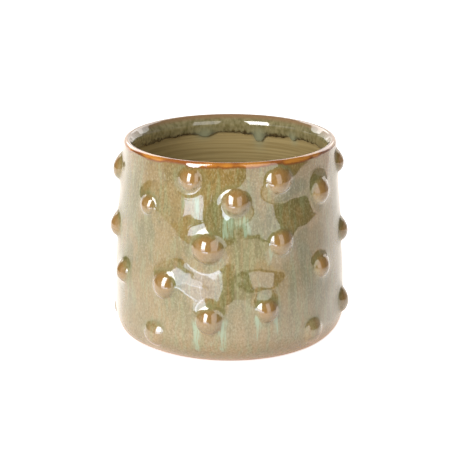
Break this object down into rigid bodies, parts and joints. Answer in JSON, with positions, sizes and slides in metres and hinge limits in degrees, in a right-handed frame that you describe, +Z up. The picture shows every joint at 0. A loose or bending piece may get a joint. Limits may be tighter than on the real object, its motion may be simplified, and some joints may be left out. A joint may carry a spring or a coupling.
{
  "type": "planter",
  "caption": "Squat round stoneware planter with a slightly wider belly, a thin rounded lip, solid clay bosses scattered over its wall and a glossy olive and celadon reactive glaze.",
  "frame": {"origin": "centre of the foot ring, on the surface that the pot stands on", "axes": "+Z up through the mouth, -Y towards the side that the picture shows, +X to that view's right"},
  "size_m": [0.1463, 0.1507, 0.125],
  "materials": {
    "wall_glaze": "gloss reactive glaze, olive breaking to celadon streaks, orange-brown at the lip",
    "boss_glaze": "the same gloss glaze, thinner and browner over the clay bosses"
  },
  "bodies": {
    "root": {"thrown_pot": "wall_glaze", "boss_01": "boss_glaze", "boss_02": "boss_glaze", "boss_03": "boss_glaze", "boss_04": "boss_glaze", "boss_05": "boss_glaze", "boss_06": "boss_glaze", "boss_07": "boss_glaze", "boss_08": "boss_glaze", "boss_09": "boss_glaze", "boss_10": "boss_glaze", "boss_11": "boss_glaze", "boss_12": "boss_glaze", "boss_13": "boss_glaze", "boss_14": "boss_glaze", "boss_15": "boss_glaze", "boss_16": "boss_glaze", "boss_17": "boss_glaze", "boss_18": "boss_glaze", "boss_19": "boss_glaze", "boss_20": "boss_glaze", "boss_21": "boss_glaze", "boss_22": "boss_glaze", "boss_23": "boss_glaze", "boss_24": "boss_glaze", "boss_25": "boss_glaze", "boss_26": "boss_glaze", "boss_27": "boss_glaze", "boss_28": "boss_glaze", "boss_29": "boss_glaze", "boss_30": "boss_glaze", "boss_31": "boss_glaze", "boss_32": "boss_glaze", "boss_33": "boss_glaze", "boss_34": "boss_glaze", "boss_35": "boss_glaze", "boss_36": "boss_glaze", "boss_37": "boss_glaze", "boss_38": "boss_glaze", "boss_39": "boss_glaze", "boss_40": "boss_glaze"}
  },
  "joints": []
}
